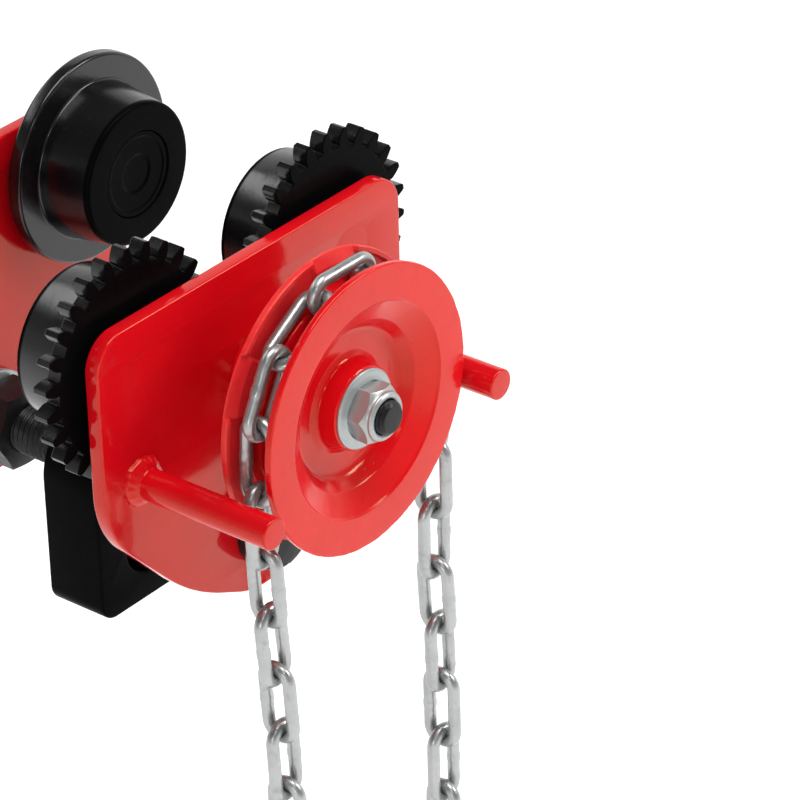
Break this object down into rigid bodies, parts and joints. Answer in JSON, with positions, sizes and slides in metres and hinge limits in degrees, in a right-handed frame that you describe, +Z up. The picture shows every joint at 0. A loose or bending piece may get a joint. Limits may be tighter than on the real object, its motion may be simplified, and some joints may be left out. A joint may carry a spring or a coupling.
{
  "type": "geared beam trolley",
  "caption": "Geared beam trolley with hand-chain wheel: toothed and plain flanged wheels on side plates joined by a load bolt, with a swinging hanger eye.",
  "frame": {"origin": "midway between the side plates, on the plane where the wheel treads roll on the beam's lower flange", "axes": "+X along the beam, -Y towards the handwheel, +Z up"},
  "size_m": [0.1983, 0.2459, 0.34],
  "materials": {
    "red_enamel": "gloss",
    "black_enamel": "gloss",
    "zinc_plate": "satin",
    "bearing_steel": "polished",
    "spring_steel": "satin",
    "black_oxide": "satin",
    "bronze": "satin"
  },
  "bodies": {
    "frame": {"geared_side_plate": "red_enamel", "left_chain_guide": "red_enamel", "right_chain_guide": "red_enamel", "drive_bearing_housing": "red_enamel", "front_drive_bush": "bronze", "rear_drive_bush": "bronze", "hand_chain": "zinc_plate", "load_bolt": "black_oxide", "load_bolt_clamp_nut": "black_oxide", "load_bolt_split_pin": "zinc_plate", "front_hanger_collar": "black_oxide", "rear_hanger_collar": "black_oxide", "geared_left_axle": "red_enamel", "geared_left_inner_ring": "bearing_steel", "geared_left_axle_circlip": "spring_steel", "geared_right_axle": "red_enamel", "geared_right_inner_ring": "bearing_steel", "geared_right_axle_circlip": "spring_steel"},
    "drive": {"drive_shaft": "black_oxide", "pinion": "black_enamel", "pinion_key": "black_oxide", "pinion_circlip": "spring_steel", "pinion_thrust_washer": "zinc_plate", "handwheel_thrust_washer": "zinc_plate", "handwheel_front_disc": "red_enamel", "handwheel_rear_disc": "red_enamel", "handwheel_drum": "red_enamel", "handwheel_hub": "red_enamel", "handwheel_key": "black_oxide", "handwheel_lock_nut": "zinc_plate"},
    "geared_left_wheel_set": {"geared_left_wheel": "black_enamel", "geared_left_outer_ring": "bearing_steel", "geared_left_bearing_balls": "bearing_steel", "geared_left_dust_cap": "black_enamel"},
    "geared_right_wheel_set": {"geared_right_wheel": "black_enamel", "geared_right_outer_ring": "bearing_steel", "geared_right_bearing_balls": "bearing_steel", "geared_right_dust_cap": "black_enamel"},
    "plain_left_wheel_set": {"plain_left_wheel": "black_enamel", "plain_left_outer_ring": "bearing_steel", "plain_left_bearing_balls": "bearing_steel", "plain_left_dust_cap": "black_enamel"},
    "plain_right_wheel_set": {"plain_right_wheel": "black_enamel", "plain_right_outer_ring": "bearing_steel", "plain_right_bearing_balls": "bearing_steel", "plain_right_dust_cap": "black_enamel"},
    "plain_side": {"plain_side_plate": "red_enamel", "adjuster_inner_washer": "zinc_plate", "adjuster_inner_nut": "black_oxide", "adjuster_outer_washer": "zinc_plate", "adjuster_outer_nut": "black_oxide", "plain_left_axle": "red_enamel", "plain_left_inner_ring": "bearing_steel", "plain_left_axle_circlip": "spring_steel", "plain_right_axle": "red_enamel", "plain_right_inner_ring": "bearing_steel", "plain_right_axle_circlip": "spring_steel"},
    "hanger": {"load_hanger": "black_enamel", "hanger_bush": "bronze"}
  },
  "joints": [
    {"name": "handwheel_spin", "type": "hinge", "parent": "frame", "child": "drive", "pos_m": [0, -0.0935, 0.0055], "axis": [0, 1, 0], "continuous": true},
    {"name": "geared_left_spin", "type": "hinge", "parent": "frame", "child": "geared_left_wheel_set", "pos_m": [-0.0551, -0.048, 0.03005], "axis": [0, 1, 0], "continuous": true},
    {"name": "geared_right_spin", "type": "hinge", "parent": "frame", "child": "geared_right_wheel_set", "pos_m": [0.0551, -0.048, 0.03005], "axis": [0, 1, 0], "continuous": true},
    {"name": "width_adjust", "type": "slide", "parent": "frame", "child": "plain_side", "axis": [0, 1, 0], "range_m": [-0.016, 0.014]},
    {"name": "plain_left_spin", "type": "hinge", "parent": "plain_side", "child": "plain_left_wheel_set", "pos_m": [-0.0551, 0.048, 0.03005], "axis": [0, 1, 0], "continuous": true},
    {"name": "plain_right_spin", "type": "hinge", "parent": "plain_side", "child": "plain_right_wheel_set", "pos_m": [0.0551, 0.048, 0.03005], "axis": [0, 1, 0], "continuous": true},
    {"name": "hanger_swing", "type": "hinge", "parent": "frame", "child": "hanger", "pos_m": [0, 0, -0.0605], "axis": [0, 1, 0], "range_deg": [-45, 45]}
  ],
  "couplings": [
    {"joint": "geared_left_spin", "follows": "handwheel_spin", "ratio": -0.46154},
    {"joint": "geared_right_spin", "follows": "handwheel_spin", "ratio": -0.46154}
  ]
}
